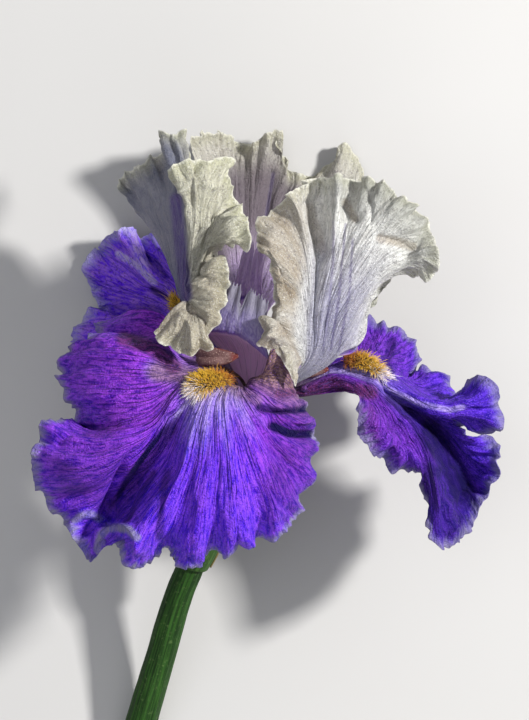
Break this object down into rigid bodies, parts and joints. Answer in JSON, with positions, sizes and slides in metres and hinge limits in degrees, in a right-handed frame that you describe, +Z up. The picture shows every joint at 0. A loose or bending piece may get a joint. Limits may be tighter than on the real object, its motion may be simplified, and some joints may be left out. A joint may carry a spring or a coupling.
{
  "type": "bearded iris flower",
  "caption": "Cut iris bloom lying on its back, with ruffled drooping falls, hairy beards, upright arching standards, style arms and a short bare stem.",
  "frame": {"origin": "centre of the bounding box in plan, at the height of the lowest points that the bloom lies on", "axes": "+Z up, away from the surface it lies on and towards the viewer of its front; +Y from the stem towards the top of the bloom; +X to the right of the bloom as seen from above"},
  "size_m": [0.1504, 0.1976, 0.1062],
  "materials": {
    "fall": "velvety violet petal with dark radiating veins",
    "beard": "golden hairs",
    "standard": "silvery cream petal with fine veins",
    "style_arm": "greyed lilac petal tissue",
    "stamen": "matt tan filament and anther",
    "floral_tube": "smooth dull green",
    "spathe": "smooth green bract",
    "stem": "smooth green with a light bloom"
  },
  "bodies": {
    "root": {"fall_front": "fall", "beard_front": "beard", "fall_right": "fall", "beard_right": "beard", "fall_back": "fall", "beard_back": "beard", "standard_left": "standard", "standard_back": "standard", "standard_right": "standard", "style_arm_front": "style_arm", "stamen_front": "stamen", "style_arm_right": "style_arm", "stamen_right": "stamen", "style_arm_back": "style_arm", "stamen_back": "stamen", "floral_tube": "floral_tube", "spathe_outer": "spathe", "spathe_inner": "spathe", "stem": "stem"}
  },
  "joints": []
}
